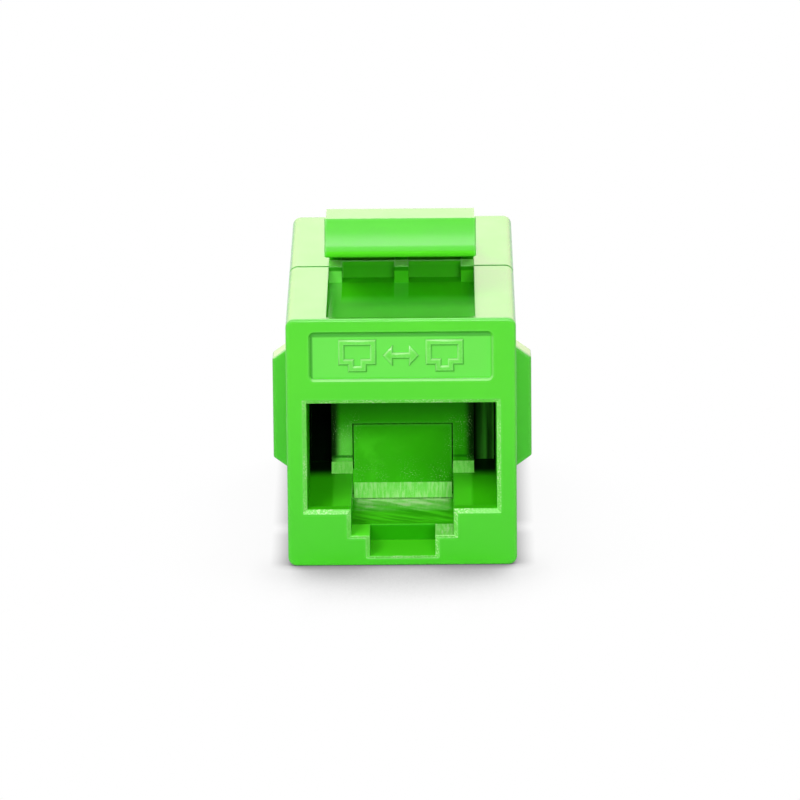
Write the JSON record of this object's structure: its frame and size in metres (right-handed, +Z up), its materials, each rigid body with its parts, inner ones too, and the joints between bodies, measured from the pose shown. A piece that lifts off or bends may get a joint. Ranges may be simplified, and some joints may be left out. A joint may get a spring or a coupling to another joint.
{
  "type": "rj45 inline coupler",
  "caption": "Snap-in feed-through coupler that joins two 8-way modular plugs end to end, with a latch arm on top.",
  "frame": {"origin": "under the middle of the coupler, on the surface it rests on", "axes": "+Z up, +Y from the front port to the rear port, +X to the right seen from the front"},
  "size_m": [0.0166, 0.0292, 0.0213],
  "materials": {
    "housing_green": "moulded, light gloss",
    "carrier_green": "moulded, fine sparkle texture",
    "contact_gold": "gold plated, polished",
    "board_dark": "dark solder mask"
  },
  "bodies": {
    "root": {"front_housing": "housing_green", "rear_housing": "housing_green", "front_contact_carrier": "carrier_green", "rear_contact_carrier": "carrier_green", "circuit_board": "board_dark", "front_contact_1": "contact_gold", "front_contact_2": "contact_gold", "front_contact_3": "contact_gold", "front_contact_4": "contact_gold", "front_contact_5": "contact_gold", "front_contact_6": "contact_gold", "front_contact_7": "contact_gold", "front_contact_8": "contact_gold", "rear_contact_1": "contact_gold", "rear_contact_2": "contact_gold", "rear_contact_3": "contact_gold", "rear_contact_4": "contact_gold", "rear_contact_5": "contact_gold", "rear_contact_6": "contact_gold", "rear_contact_7": "contact_gold", "rear_contact_8": "contact_gold"}
  },
  "joints": []
}
